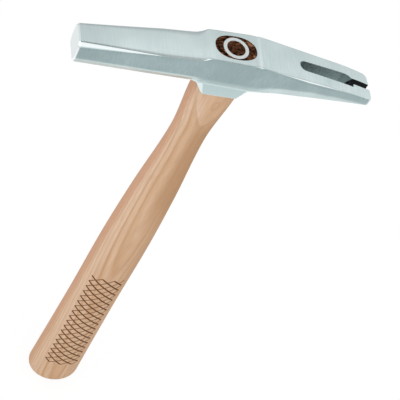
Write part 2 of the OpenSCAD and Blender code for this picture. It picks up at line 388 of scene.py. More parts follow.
# Across the striking face, over its bevel and on to the arm
FACE_RIM = 2.4
face = profile([(-POLL_REACH, FACE_RIM), (-POLL_REACH, FACE_BEVEL),
                (-POLL_REACH + FACE_BEVEL, 0), (-POLL_REACH + FACE_RIM, 0)], 0.16)
# The poll's arm, the ramp, the boss and the split arm, then the tip's corners and its end
body = np.concatenate([np.linspace(-POLL_REACH + 4, -ARM_X - 0.5, 26),
                       np.linspace(-ARM_X, -BACK_X, 14),
                       np.linspace(-BACK_X + 0.8, FRONT_X - 0.7, 8),
                       np.linspace(FRONT_X, SPLIT_REACH - TIP_ROUND - 0.4, 50)])
bend = SPLIT_REACH - TIP_ROUND * (1 - np.sin(np.radians(np.linspace(0, 80, 9))))
tip = profile([(bend[-1], 0), (SPLIT_REACH, 0), (SPLIT_REACH, 0.9)], 0.12)
stations = np.concatenate([face[:, 0], body, bend[:-1], tip[:, 0]])
insets = np.concatenate([face[:, 1], np.zeros(len(body) + len(bend) - 1), tip[:, 1]])
head = stack(head_rings(stations, insets), "steel_head")
report(head)

# %% [markdown]
# ## The ears
#
# Two ears hang from the boss beside the handle and keep it from rocking. Seen from the side
# each is a trapezium, and its ends are cut back towards the outside. Its plan outline changes
# in straight lines from the root to the foot, so it is a stack as well, and a Boolean union
# sinks its root into the boss.

# %% Join the ears
POCKET_W = EYE_W + 0.2
EAR_ROOT_L, EAR_FOOT_L, EAR_T, ROOT_Z = 28.5, 18.0, 1.6, SEAT_Z + 0.4
FOOT_CUT, BACK_CUT, FRONT_CUT = 0.9, 3.7, 3.2


def ear_rings():
    """Plan outlines of one ear, from its foot up into the boss, as rings along Z.

    Each has a long inner and a shorter outer side, and the foot's edge has a small round.
    """
    z = np.array([EAR_Z, EAR_Z + 0.05, EAR_Z + 0.15, EAR_Z + 0.35, ROOT_Z, SEAT_Z + 3.2])
    inset = np.array([0.3, 0.12, 0.03, 0, 0, 0])
    up = (z - EAR_Z) / (ROOT_Z - EAR_Z)
    level = np.minimum(up, 1)
    half = blend(EAR_FOOT_L, EAR_ROOT_L, level) / 2 - inset
    inner = POCKET_W / 2 + inset
    back = -half + blend(FOOT_CUT, BACK_CUT, level)
    front = half - blend(FOOT_CUT, FRONT_CUT, level)
    root = head_side(np.array([back[-1], front[-1]]))
    line = POCKET_W / 2 + EAR_T
    outer = blend(line, root[:, None] - DRAFT_BOSS * LOW_FACET_POLL, up) - inset
    outer[:, -1] = root - 0.05
    x = np.stack([-half, half, front, back], -1)
    y = np.stack([inner, inner, outer[1], outer[0]], -1)
    return lifted(soften(np.stack([x, y], -1), 0.35), z)


ear = ear_rings()
carve(head, stack(ear, "ear"), "UNION")
carve(head, stack(ear * [1, -1, 1], "ear"), "UNION")

# %% [markdown]
# ## The eye
#
# The eye is fuller than an ellipse, so it holds more wood. A superellipse draws it with one
# formula. The hole is a Boolean cut, and its cutter opens like a tiny trumpet just where it
# leaves the steel, so the rim is a real small round that catches the light.

# %% Cut the eye
def oval(a, b, power, t):
    """A superellipse, |x/a|^p + |y/b|^p = 1, as the points (x, y) at the angles t."""
    c, s = np.cos(t), np.sin(t)
    x, y = np.sign(c) * np.abs(c) ** (2 / power), np.sign(s) * np.abs(s) ** (2 / power)
    return np.stack([a * x, b * y], -1)


# Depth below the surface and widening of a cutter: a quarter round, then straight on beyond it
RIM, BEYOND = 0.16, 3.0
lip_turn = np.radians(np.linspace(0, 90, 5))
lip = np.stack([RIM * (1 - np.sin(lip_turn)), RIM * (1 - np.cos(lip_turn))], -1)
lip = np.concatenate([lip, [[-BEYOND, RIM]]])


def through(outline, normal, top, bottom):
    """A cutter's rings: the outline, widened along its normals by the lip at both surfaces."""
    top, bottom = np.broadcast_to(top, len(outline)), np.broadcast_to(bottom, len(outline))
    upper = [np.c_[outline + normal * wide, top - deep] for deep, wide in lip]
    lower = [np.c_[outline + normal * wide, bottom + deep] for deep, wide in lip[::-1]]
    return np.array(lower + upper)


eye = oval(EYE_L / 2, EYE_W / 2, EYE_POWER, np.linspace(0, 2 * np.pi, 96, endpoint=False))
outward = eye / np.linalg.norm(eye, axis=1, keepdims=True)
carve(head, stack(through(eye, outward, HEAD_Z, SEAT_Z), "eye"))

# %% [markdown]
# ## The magnet slot
#
# A long slot and a narrow gap turn the split end into two legs, which are the poles of the
# magnet. One closed outline runs round both, so a single cut leaves clean corners. The steel
# slopes here, so each point of the cutter takes its rim's height from the head's own curves.

# %% Cut the magnet slot
SLOT_W, SLOT_FLARE, SLOT_L, GAP_W, GAP_L, FAR_SLANT = 5.7, 1.0, 29.1, 3.2, 9.7, 2.6
FAR_X = SPLIT_REACH - GAP_L
ROUND_X = FAR_X - SLOT_L + SLOT_W / 2


def slot_outline():
    """Seen from above: a round end, two walls that spread a little, and the narrow pole gap."""
    t = np.radians(np.linspace(90, 270, 25))
    start = np.stack([ROUND_X + SLOT_W / 2 * np.cos(t), SLOT_W / 2 * np.sin(t)], -1)
    far, pole, mouth = (SLOT_W + SLOT_FLARE) / 2, GAP_W / 2, SPLIT_REACH + BEYOND
    corners = np.array([(ROUND_X, SLOT_W / 2), (ROUND_X, -SLOT_W / 2), (FAR_X, -far),
                        (FAR_X, -pole), (mouth, -pole), (mouth, pole), (FAR_X, pole),
                        (FAR_X - FAR_SLANT, far)])
    rounds = [0.1, 0.1, 0.7, 0.6, 0.1, 0.1, 0.5, 3.0]
    steps = 6
    box = soften(corners, rounds, steps)[2 * (steps + 1):]
    way = np.linspace(0, 1, 14)[1:-1, None]
    return np.concatenate([start, blend(start[-1], box[0], way), box,
                           blend(box[-1], start[0], way)])


slot = slot_outline()
tangent = np.roll(slot, -1, axis=0) - np.roll(slot, 1, axis=0)
tangent /= np.linalg.norm(tangent, axis=1, keepdims=True)
outward = np.stack([tangent[:, 1], -tangent[:, 0]], -1)
cutter = through(slot, outward, HEAD_Z - head_top(slot[:, 0]), HEAD_Z - head_bottom(slot[:, 0]))
carve(head, stack(cutter, "slot"))
smooth_shade(head)

# %% [markdown]
# ## The hickory handle
#
# One piece of wood, turned and sanded: a swelling butt, a grip, a slim neck and a shoulder
# between the ears. Its section is an ellipse that grows fuller from the neck to the eye. Its
# two half sizes follow a smooth curve through seven measured heights, as in the CAD solid.

# %% The handle's curve
POCKET = POCKET_W / 2 - 0.05
SHOULDER_X, SHOULDER_Y = EYE_L + 3.0, POCKET_W + 2 * EAR_T - 0.8
NECK_Z = EAR_Z - 37.4
# Height, breadth along X and thickness along Y. The two last are halved.
ROWS = np.array([
    [0, 31.2, 25], [87, 28, 21.4], [151, 26.8, 20.6], [196, 23.6, 18.3],
    [NECK_Z, 18.3, 14.5], [EAR_Z - 8, SHOULDER_X - 0.6, SHOULDER_Y - 0.3],
    [EAR_Z, SHOULDER_X, SHOULDER_Y]]) * [1, 0.5, 0.5]
BUTT_ROUND = 7.9


def handle_half(z, k):
    """Half the breadth (k 1) or thickness (k 2) at height z.

    A cubic runs between each two rows. Its slope at a row is that of the straight line
    between the row's two neighbours.
    """
    heights, values = ROWS[:, 0], ROWS[:, k]
    last = len(ROWS) - 1
    rows = np.arange(last + 1)
    a, b = np.maximum(rows - 1, 0), np.minimum(rows + 1, last)
    slope = (values[b] - values[a]) / (heights[b] - heights[a])
    i = np.clip(np.searchsorted(heights, z, side="right") - 1, 0, last - 1)
    span = heights[i + 1] - heights[i]
    t = (z - heights[i]) / span
    return (values[i] * (1 + 2 * t) * (1 - t) ** 2 + values[i + 1] * t * t * (3 - 2 * t)
            + span * (slope[i] * t * (1 - t) ** 2 - slope[i + 1] * t * t * (1 - t)))


print("half breadths:", handle_half(np.array([20.0, 150, 245, 281]), 1).round(2))


def handle_rings(z, angle):
    """Superellipse rings at heights z; the power grows from 2 to the eye's over the neck."""
    h = np.minimum(z, EAR_Z)
    d = np.maximum(0, BUTT_ROUND - h)
    cut = BUTT_ROUND - np.sqrt(np.maximum(0, BUTT_ROUND**2 - d**2))
    power = blend(2.0, EYE_POWER, ease(share(h, NECK_Z, EAR_Z)))[:, None]
    halves = [(handle_half(h, k) - cut)[:, None] for k in (1, 2)]
    return lifted(oval(*halves, power, angle), z)

# %% [markdown]
# ## The checkering
#
# The grip is checkered with two families of burned grooves that cross in diamonds. They are
# real dents in the mesh, because a bump in the material would be missing from the exported
# shape. Columns are counted round the handle and rows up it, and the same two numbers place
# the dents here and the burned colour in the material.

# %% The checkering
PITCH, COLUMNS, ROWS_DOWN = 5.55, 6.0, 16.5
FIRST_Z, FIRST_ANGLE, STEP_ANGLE, ASPECT = 116.5, 135.5, 13.2, 0.775
LEFT, LEAN, LEAN_Z = (95.0, 135.0), 0.05, 70.0
CLOSING, MIDDLE, SAG = 0.0068, 3.1, 0.13
GROOVE, GROOVE_GAP, SPARE = 0.13, 0.77 * PITCH, 0.05


def lattice_place(turn, z, left):
    """Columns u counted round the grip from its left border, rows v counted up the grip.

    Towards the border, where `left` goes from 0 to 1, the columns lean. They also widen a
    little to the right, and the rows sag. It takes arrays and shader sockets alike.
    """
    w = (FIRST_ANGLE - turn - (LEAN_Z - z) * LEAN * left) / STEP_ANGLE
    u = w - w * w * CLOSING
    return u, (z - FIRST_Z + (u - MIDDLE) ** 2 * SAG) / PITCH


def grooves(points):
    """Moves points towards the handle's axis where a groove runs.

    A groove of the first family lies where v + u/2 is whole, one of the second where
    v - u/2 is whole. Its section is a soft valley, worked out from the distance to it.
    """
    x, y, z = np.moveaxis(points, -1, 0)
    turn = np.degrees(np.arctan2(np.abs(y) / ASPECT, x))
    u, v = lattice_place(turn, z, share(turn, *LEFT))
    depth = 0.0
    for line, wide in ((v + u / 2, 0.5), (v - u / 2, 0.42)):
        away = np.abs(line - np.round(line)) * GROOVE_GAP
        depth = np.maximum(depth, 1 - ease(share(away, 0, wide)))
    depth = depth * (u > -SPARE) * (u < COLUMNS + SPARE)
    depth = depth * (v > -ROWS_DOWN - SPARE) * (v < 1 + SPARE)
    inward = points * [1, 1, 0]
    inward /= np.maximum(np.linalg.norm(inward, axis=-1, keepdims=True), TINY)
    return points - inward * (GROOVE * depth)[..., None]


border = np.array([lattice_place(90.0, z, 0) for z in (30.0, 110.0)]).round(1)
print("columns and rows half way round:", border.tolist())

# %% [markdown]
# ## Skin, seat and tenon
#
# The handle is a stack of rings from the butt to the shoulder, dense over the grip so that
# the grooves are crisp. Between the ears its cheeks are cut flat, and above them only the
# tenon goes on, with the eye's outline. The tenon is made apart, because the kerf and the
# ring's groove are cut into it alone.

# %% Build the handle's skin
# The points stand closer together where the checkering is
AROUND, CROWDING, HAIR = 212, 0.13, 0.9998
even_angle = np.linspace(0, 2 * np.pi, AROUND, endpoint=False)
angle = even_angle + CROWDING * np.sin(2 * even_angle)
butt_z = BUTT_ROUND * (1 - np.cos(np.radians(np.linspace(0, 86, 18))))
grip_z = np.linspace(butt_z[-1] + 0.4, 124, 340)
rise_z = np.linspace(125.5, EAR_Z - 0.05, 100)
skin = grooves(handle_rings(np.concatenate([butt_z, grip_z, rise_z]), angle))
skin *= [HAIR, HAIR, 1]  # a hair inside the solid, whose facets cut its curve short
cheek = skin[-1:].copy()
cheek[..., 1] = np.clip(cheek[..., 1], -POCKET, POCKET)
seat = cheek.copy()
seat[..., 2] = SEAT_Z - 0.05

WALL_FIT = 0.05
tenon_side = oval(EYE_L / 2 - WALL_FIT, EYE_W / 2 - WALL_FIT, EYE_POWER, angle)
tenon_ring = np.c_[tenon_side, np.full(AROUND, SEAT_Z - 0.05)][None]
handle = stack(np.concatenate([skin, cheek, seat, tenon_ring]), "hickory_handle", high_cap=False)
report(handle)

# %% Build the tenon
def raised(ring, z, inset=0.0):
    """A copy of a ring at height z, drawn in by the inset."""
    copy = ring.copy()
    copy[..., 2] = z
    length = np.linalg.norm(copy[..., :2], axis=-1, keepdims=True)
    copy[..., :2] *= 1 - inset / length
    return copy


WOOD_TOP = HEAD_Z - 0.3
levels = [(SEAT_Z - 0.05, 0), (WOOD_TOP - 0.25, 0), (WOOD_TOP - 0.08, 0.06), (WOOD_TOP, 0.25)]
tenon = stack(np.concatenate([raised(tenon_ring, z, inset) for z, inset in levels]), "tenon")
report(tenon)

# %% [markdown]
# ## Kerf, wooden wedge and ring wedge
#
# A saw kerf runs along the eye, and a wooden wedge spreads it. The round steel ring is driven
# over it. The wood has a real kerf and a real groove, cut a hair wider than what sits in them.
# Booleans fit them into each other.

# %% Measures of the wedges, and the kerf
WEDGE_T, WEDGE_FOOT, WEDGE_L = 4.2, 0.9, 14.7
RING_D, RING_WALL, RING_L, RING_EDGE = EYE_W - 1.4, 1.8, 10.3, 0.3
WEDGE_TOP, RING_TOP = HEAD_Z - 0.2, HEAD_Z - 0.1
# Both cutters end above the wood
KERF_END, GROOVE_L = HEAD_Z + 1, RING_L + 1.2


def kerf(gap, top_z, name):
    """A wedge-shaped slice along the eye: its half thickness grows evenly with height."""
    foot_z = WEDGE_TOP - WEDGE_L - gap
    lean = (WEDGE_T - WEDGE_FOOT) / 2 / WEDGE_L
    low = WEDGE_FOOT / 2 + gap
    high = low + lean * (top_z - foot_z)
    section = np.array([(-low, foot_z), (low, foot_z), (high, top_z), (-high, top_z)])
    ends = [np.c_[np.full(4, x), section] for x in (-EYE_L, EYE_L)]
    return stack(np.array(ends), name)


print("the kerf is", WEDGE_L, "mm deep, and the ring", round(RING_D, 1), "mm wide")

# %% The ring
def ring_solid(gap, rise, name):
    """The ring, a wall that thickens upwards. With a gap it is the cutter of its groove."""
    outer, inner = RING_D / 2 + gap, RING_D / 2 - RING_WALL - gap
    lean = (RING_WALL - RING_EDGE) / RING_L
    base = RING_TOP - RING_L - gap
    if gap:
        line = np.array([(outer - RING_EDGE - 2 * gap, 0), (outer, 0), (outer, rise),
                         (inner - lean * (rise - RING_L - gap), rise)])
    else:
        corners = np.array([(outer - RING_EDGE, 0), (outer, 0), (outer, RING_L), (inner, RING_L)])
        line = soften(corners, [0.1, 0.1, 0.3, 0.3], 5)
    t = np.linspace(0, 2 * np.pi, 96, endpoint=False)[:, None]
    rings = np.stack([line[:, 0] * np.cos(t), line[:, 0] * np.sin(t),
                      np.broadcast_to(base + line[:, 1], (96, len(line)))], -1)
    closed = np.concatenate([rings, rings[:1]])
    turned = stack(closed, name, low_cap=False, high_cap=False)
    with edited(turned.data) as shape:
        bmesh.ops.remove_doubles(shape, verts=shape.verts, dist=MERGE / 2 * MM)
        bmesh.ops.recalc_face_normals(shape, faces=shape.faces)
    return turned


ring = smooth_shade(ring_solid(0, RING_L, "ring"))

# %% Fit the wedges into the tenon
carve(tenon, kerf(WALL_FIT, KERF_END, "kerf"))
carve(tenon, ring_solid(WALL_FIT, GROOVE_L, "groove"))
ends = [raised(tenon_ring, z) for z in (WEDGE_TOP - WEDGE_L - 2, WEDGE_TOP)]
wedge = stack(np.concatenate(ends), "wedge")
carve(wedge, kerf(0, WEDGE_TOP, "slice"), "INTERSECT")
carve(wedge, ring_solid(WALL_FIT, GROOVE_L, "groove"))
smooth_shade(wedge)

# %% [markdown]
# ## One piece of wood again
#
# Skin and tenon share a ring of points at the seat. The tenon's flat floor comes off and the
# two rings are merged, so that the handle is one closed skin. An edge with one face would
# be a hole, and their number is printed.

# %% Join the tenon to the handle
def join(base, extra, apart=0.005):
    """Puts the second mesh into the first and merges points less than `apart` mm apart."""
    height = read(extra.data.polygons, "center", 3)[:, 2]
    floor_faces = np.flatnonzero(height < height.min() + MERGE / 2 * MM)
    shape = bmesh.new()
    shape.from_mesh(extra.data)
    shape.faces.ensure_lookup_table()
    bmesh.ops.delete(shape, geom=[shape.faces[i] for i in floor_faces], context="FACES")
    shape.from_mesh(base.data)
    bmesh.ops.remove_doubles(shape, verts=shape.verts, dist=apart * MM)
    bmesh.ops.recalc_face_normals(shape, faces=shape.faces)
    shape.to_mesh(base.data)
    shape.free()
    bpy.data.objects.remove(extra)
    edge_of_corner = read(base.data.loops, "edge_index", 1, int)[:, 0]
    print("open edges:", (np.bincount(edge_of_corner) != 2).sum())


join(handle, tenon)
smooth_shade(handle)

# %% [markdown]
# ## Shader maths in plain Python
#
# A finish is a formula over the surface, and a formula is easier to read than a web of
# nodes. The class below wraps one socket, so that an expression such as `(1 - mask) * 0.5`
# adds its own Math nodes. Any other node comes from one method.

# %% A socket that does sums
def math_node(kind, swapped=False):
    """A method that adds one Math node. Swapped, the socket comes after the other value."""
    def method(self, *others):
        values = (*others, self) if swapped else (self, *others)
        return self.node("Math", {"operation": kind}, dict(enumerate(values)))
    return method


class Socket:
    """One output of a shader node. Arithmetic on it adds Math nodes."""

    def __init__(self, tree, socket=None):
        self.tree = tree
        self.socket = socket

    def node(self, kind, settings=None, inputs=None, out=0):
        """Adds a node: its type, its settings, the values or links of its inputs, its output."""
        made = self.tree.nodes.new("ShaderNode" + kind)
        for key, value in (settings or {}).items():
            if key == "stops":
                ramp = made.color_ramp.elements
                while len(ramp) < len(value):
                    ramp.new(0.5)
                for element, (place, colour) in zip(ramp, value):
                    element.position = place
                    element.color = (*colour, 1)
            else:
                setattr(made, key, value)
        for key, value in (inputs or {}).items():
            if isinstance(value, Socket):
                self.tree.links.new(value.socket, made.inputs[key])
            else:
                made.inputs[key].default_value = value
        return Socket(self.tree, made.outputs[out])

    def outputs(self, *names):
        """Other outputs of this socket's node, by name or number."""
        return [Socket(self.tree, self.socket.node.outputs[name]) for name in names]

    __add__ = __radd__ = math_node("ADD")
    __sub__, __rsub__ = math_node("SUBTRACT"), math_node("SUBTRACT", swapped=True)
    __mul__ = __rmul__ = math_node("MULTIPLY")
    __truediv__, __pow__, __abs__ = math_node("DIVIDE"), math_node("POWER"), math_node("ABSOLUTE")
    at_least, at_most = math_node("MAXIMUM"), math_node("MINIMUM")
    fract, arctan2 = math_node("FRACT"), math_node("ARCTAN2")

    def step(self, start, end):
        """0 below start, 1 above end, smooth between."""
        return self.node("MapRange", {"interpolation_type": "SMOOTHSTEP"},
                         {"Value": self, "From Min": start, "From Max": end})

    def fade(self, start, end):
        """1 below start, 0 above end, smooth between."""
        return 1 - self.step(start, end)

    def band(self, start, end, edge):
        """1 between start and end, falling to 0 over the edge's width outside them."""
        return self.step(start - edge, start) * self.fade(end, end + edge)

    def mix(self, a, b):
        """Colour a where this value is 0, colour b where it is 1. Each is a link or (r, g, b)."""
        colours = [c if isinstance(c, Socket) else (*c, 1) for c in (a, b)]
        return self.node("Mix", {"data_type": "RGBA"}, {0: self, 6: colours[0], 7: colours[1]},
                         out=2)

# %% Materials and places
def new_material(name, **uniform):
    """A material whose Principled shader has the uniform values on its own sockets."""
    material = bpy.data.materials.new(name)
    material.use_nodes = True
    shader = material.node_tree.nodes["Principled BSDF"]
    for key, value in uniform.items():
        shader.inputs[key.replace("_", " ")].default_value = value
    return material, Socket(material.node_tree), shader


def count(material):
    print(material.name, "has", len(material.node_tree.nodes), "nodes")


def feed(material, shader, **varying):
    """Links what varies over the surface to the shader's sockets."""
    for key, value in varying.items():
        material.node_tree.links.new(value.socket, shader.inputs[key.replace("_", " ")])
    count(material)


def millimetres(pen):
    """The point's place on the hammer, in millimetres: x, y and z as three values."""
    place = pen.node("SeparateXYZ", None, {0: pen.node("TexCoord", out="Object")})
    return [value * 1000.0 for value in place.outputs(0, 1, 2)]


def noise(pen, per_mm, detail):
    """Cloudy noise with so many lumps per millimetre along X, Y and Z."""
    scaled = pen.node("Mapping", None, {"Vector": pen.node("TexCoord", out="Object"),
                                        "Scale": tuple(1000.0 * v for v in per_mm)})
    return pen.node("TexNoise", None, {"Vector": scaled, "Scale": 1.0, "Detail": detail})


def length(a, b):
    """Distance of (a, b) from the origin."""
    return (a * a + b * b) ** 0.5


def paint(colour, *coats):
    """Lays coats over a colour, each a mask from 0 to 1 and the colour where it is 1."""
    for mask, coat in coats:
        colour = mask.mix(colour, coat)
    return colour

# %% [markdown]
# ## Ground steel
#
# The head was ground crosswise on a belt, which leaves fine lines and a satin gloss. A noise
# that is stretched across the head makes these lines, and it moves the roughness too, so
# that they glint. Metal shows what stands around it, so much of its light and shade comes
# from the studio further down. The colours here say how each place was finished, and on
# some facets they also carry painted highlights, painted reflections and painted shade.

# %% Ground steel: the grinding
steel, pen, shader = new_material("ground steel", Metallic=1.0)
x, y, z = millimetres(pen)
grind = noise(pen, (2.6, 0.12, 0.25), 3.0)
cloud = noise(pen, (0.09, 0.09, 0.09), 2.0)
tone = (grind * 0.6 + cloud * 0.4).step(0.3, 0.7)
plain = tone.mix((0.535, 0.645, 0.65), (0.695, 0.785, 0.79))
bright = tone.mix((0.655, 0.755, 0.76), (0.75, 0.845, 0.845))
poll_end = x.fade(-66.0, -50.0)
colour = (poll_end * 0.38).mix(plain, (0.51, 0.59, 0.595))
count(steel)

# %% Ground steel: chamfers, ridge and tops
# A facet is known by where it lies and by how far its normal points across and upward
normal = pen.node("SeparateXYZ", None, {0: pen.node("NewGeometry", out="Normal")})
across, upward = normal.outputs(1, 2)
across = abs(across)
chamfer = across.band(0.65, 0.78, 0.10) * upward.step(0.3, 0.4)
skew = x - y * 0.085
ridge = skew.step(FRONT_X - 1.9, FRONT_X + 0.3) * skew.fade(FRONT_X + 0.7, FRONT_X + 1.2)
ridge = ridge * z.step(HEAD_Z - 1.5, HEAD_Z - 1.0)
poll_top = x.fade(-13.0, -7.0) * x.step(-62.0, -46.0) * upward.step(0.7, 0.95)
boss = x.step(-11.0, -7.0) * x.fade(9.0, 11.0)
far_half = y.step(-8.0, 7.0)
# The chamfers are painted lighter as a highlight, and a painted highlight lies on the ridge
# across the boss's front. The poll's top is painted lighter than the boss, and the boss and
# the far half are painted darker as shade.
colour = paint(colour, (chamfer, (0.68, 0.72, 0.725)), (ridge * 0.75, (0.76, 0.84, 0.84)),
               (poll_top * 0.85, bright), (boss * 0.35, (0.54, 0.635, 0.64)),
               (far_half * 0.45, (0.52, 0.61, 0.615)))
count(steel)

# %% Ground steel: ears, tip and striking face
# A darker steel colour, painted as shade on the split end's sides and the tip's corners
SHADED_STEEL = (0.48, 0.575, 0.58)
ears = z.fade(SEAT_Z + 0.6, SEAT_Z + 1.4) * x.band(-16.0, 16.0, 2.0)
split_side = across.step(0.7, 0.9) * x.step(22.0, 34.0)
tip_corner = across.step(0.2, 0.4) * x.step(69.3, 69.8)
face = x.fade(-68.95, -68.75)
bevel = face * x.step(-POLL_REACH + 0.05, -POLL_REACH + 0.15) * across.step(0.3, 0.5)
# The ears are painted lighter, a painted reflection of the floor below them, and the sides of
# the split end and the tip's corners are painted darker as shade. The striking face is
# polished and painted lighter still, and its bevel carries a painted highlight.
colour = paint(colour, (ears, (0.775, 0.895, 0.895)), (split_side * 0.3, SHADED_STEEL),
               (tip_corner * 0.5, SHADED_STEEL), (face, (0.74, 0.80, 0.80)), (bevel, (0.92, 0.95, 0.95)))
count(steel)

# %% Ground steel: the slot and the gap
# Distance from the slot's wall: first from a round end, then from two lines that spread
from_round = x - ROUND_X
before, beyond = from_round.at_most(0.0), from_round.at_least(0.0)
spread = SLOT_FLARE / 2 / (FAR_X - ROUND_X)
off_wall = length(before, y) - SLOT_W / 2 - beyond * spread
up_to_top = z + sweep((x - FRONT_X) / (SPLIT_REACH - FRONT_X))
under = up_to_top.fade(HEAD_Z - 0.5, HEAD_Z - 0.3)
wall = off_wall.fade(0.02, 0.10) * x.fade(FAR_X, FAR_X + 0.1) * under
gap = abs(y).fade(GAP_W / 2 + 0.02, GAP_W / 2 + 0.10) * x.step(FAR_X - 0.1, FAR_X)
# The walls are dark grey, mottled and lighter towards the far end, with painted highlights
# in streaks near the far end. The end wall where the gap begins, and the gap itself, are
# painted black as shade.
wall_tone = noise(pen, (0.9, 0.9, 0.7), 3.0).step(0.3, 0.7) * 0.5 + x.step(34, 46) * 0.5
# Painted highlight: bright streaks near the slot's far end
streak_highlight = x.band(FAR_X - 3.0, FAR_X - 2.0, 0.6)
wall_tone = wall_tone + streak_highlight * noise(pen, (1.6, 1.6, 0.2), 2.0).step(0.35, 0.55)
# Painted shade: the end wall where the gap begins turns black
end_wall_shade = (x + (HEAD_Z - z) * 0.35).step(FAR_X + 3.1, FAR_X + 3.5)
wall_colour = wall_tone.mix((0.11, 0.145, 0.147), (0.29, 0.37, 0.372))
BLACK = (0.012, 0.014, 0.015)
colour = paint(colour, (wall, end_wall_shade.mix(wall_colour, BLACK)), (gap, BLACK))
roughness = grind * 0.10 + 0.25 + wall * 0.2 + gap * 0.2
feed(steel, shader, Base_Color=colour, Roughness=roughness)

# %% [markdown]
# ## Ring steel
#
# The ring wedge is turned from bright bar and driven in flush. Only its edge shows. It has no
# grinding lines, just a faint cloud, and is a little rougher than the head.

# %% Ring steel
ring_steel, pen, shader = new_material("ring steel", Metallic=1.0, Roughness=0.35)
tone = noise(pen, (0.7, 0.7, 0.7), 2.0).step(0.3, 0.7)
feed(ring_steel, shader, Base_Color=tone.mix((0.64, 0.69, 0.685), (0.72, 0.765, 0.755)))

# %% [markdown]
# ## Hickory
#
# Wood shows its growth rings as bands. The rings are nearly flat shells here, and the
# handle's round sides cut them at a slant, which draws long flames. So the pattern is a
# formula for the ring's number at each point. What follows its decimal point says how far
# into the year the wood grew: pale and open in spring, dark and dense at the end.

# %% Hickory: growth rings
def angle_round(x, y):
    """Degrees round the handle: 0 towards the split end and 180 towards the poll, both ways."""
    return (abs(y) / ASPECT).arctan2(x) * (180 / math.pi)


hickory, pen, shader = new_material("lacquered hickory", Roughness=0.5, Coat_Roughness=0.4,
                                    Specular_IOR_Level=0.0)
x, y, z = millimetres(pen)
turn = angle_round(x, y)
slow = noise(pen, (0.10, 0.10, 0.010), 1.0)
rings = (y - 0.04 * z + 0.027 * x.at_least(0.0) ** 2 + z.step(243.0, 262.0) * 0.93
         + (slow - 0.5) * 0.5 + 15.65) / 1.62
year = rings.fract()
figure = pen.node("ValToRGB", {"stops": [
    (0.0, (0.58, 0.335, 0.185)), (0.13, (0.75, 0.52, 0.36)), (0.38, (0.80, 0.575, 0.41)),
    (0.70, (0.71, 0.47, 0.295)), (0.90, (0.57, 0.33, 0.185)), (1.0, (0.56, 0.32, 0.175))]},
    {0: year})
plain = noise(pen, (0.25, 0.25, 0.02), 2.0).step(0.3, 0.7)
plain = plain.mix((0.66, 0.41, 0.245), (0.735, 0.485, 0.31))
strength = noise(pen, (0.07, 0.07, 0.006), 1.0).step(0.35, 0.65) * 0.3 + 0.2
colour = (strength + turn.step(90.0, 120.0) * 0.35).mix(plain, figure)
count(hickory)

# %% Hickory: sapwood and heartwood
# Cream lies on the left of the near side, partly sapwood and partly a painted highlight.
# Beside it the left edge is tinted pink, and heartwood is brown under the split end. A painted
# shade darkens the side towards the split end.
sapwood_and_highlight = turn.step(122.0, 142.0) * turn.fade(150.0, 168.0)
pink = (turn + (z - 180.0) * 0.08).step(150.0, 168.0)
brown = turn.fade(82.0, 110.0) * z.step(165.0, 205.0) * z.fade(250.0, 268.0)
shade = turn.fade(45.0, 72.0) * z.step(40.0, 180.0)
colour = paint(colour, (sapwood_and_highlight * 0.5, (0.83, 0.62, 0.465)), (pink * 0.75, (0.68, 0.385, 0.255)),
               (brown * 0.75, (0.52, 0.298, 0.158)), (shade * 0.45, (0.55, 0.315, 0.165)))
count(hickory)

# %% Hickory: a dark line, and a pale tongue below the head
# One darker growth line runs from the grip to the head, and leans over at the neck
climb = (z - 215.0) * 0.15 + (z - 238.0).at_least(0.0) * 0.3 - (150.0 - z).at_least(0.0) * 0.2
beside = abs(turn - 138.5 - climb - (slow - 0.5) * 5.0)
dark_line = beside.fade(0.6, 3.6) * z.step(118.0, 135.0) * z.fade(256.0, 266.0)
# Where the neck widens, the rings are cut across and show a pale tongue with a small eye
lean = (turn - 87.0) * 0.42
wobble = (noise(pen, (0.2, 0.2, 0.12), 2.0) - 0.5) * 5.0
tongue = z - 254.0 - (lean * lean + 20.0) ** 0.5 + wobble
inside = tongue.step(-0.3, 1.2)
rim = tongue.step(-6.0, -0.2) * (1 - inside)
inside = inside * tongue.fade(5.0, 17.0) * turn.fade(118.0, 136.0)
tongue_colour = turn.step(85.0, 115.0).mix((0.72, 0.475, 0.30), (0.83, 0.61, 0.46))
from_eye = length((turn - 82.0) / 9.0, (z - 274.5) / 3.0)
small_eye = from_eye.step(0.5, 0.9) * from_eye.fade(0.95, 1.4)
# Fine dark fibres run along the whole handle
fibre = noise(pen, (2.4, 2.4, 0.05), 4.0)
colour = paint(colour, (dark_line * 0.5, (0.555, 0.325, 0.185)), (rim * 0.3, (0.55, 0.32, 0.185)),
               (inside * 0.7, tongue_colour), (small_eye * 0.4, (0.60, 0.36, 0.21)),
               (fibre.step(0.35, 0.75) * 0.34, (0.47, 0.27, 0.15)))
count(hickory)

# %% Hickory: the burned checkering
def near_whole(value):
    """Distance to the nearest whole number, in millimetres across a groove."""
    return abs((value + 0.5).fract() - 0.5) * GROOVE_GAP


def lattice(turn, z):
    """How burned the wood is, from 0 to 1: the grooves, and dots down the left border."""
    left = ((turn - LEFT[0]) / (LEFT[1] - LEFT[0])).at_least(0.0).at_most(1.0)
    u, v = lattice_place(turn, z, left)
    first = near_whole(v + u * 0.5).fade(0.28, 0.66)
    second = near_whole(v - u * 0.5).fade(0.20, 0.56) * 0.8
    inside = u.band(0.0, COLUMNS, 0.06) * v.band(-ROWS_DOWN, 1.0, 0.06)
    dot = (near_whole(v) ** 2 / 0.6 + (u * 3.3) ** 2) ** 0.5
    dot = dot.fade(0.25, 0.6) * v.step(-16.4, -16.2) * v.fade(0.2, 0.6)
    return (first.at_least(second) * inside).at_least(dot)


burn = lattice(turn, z)
colour = burn.mix(colour, (0.125, 0.052, 0.02))
count(hickory)

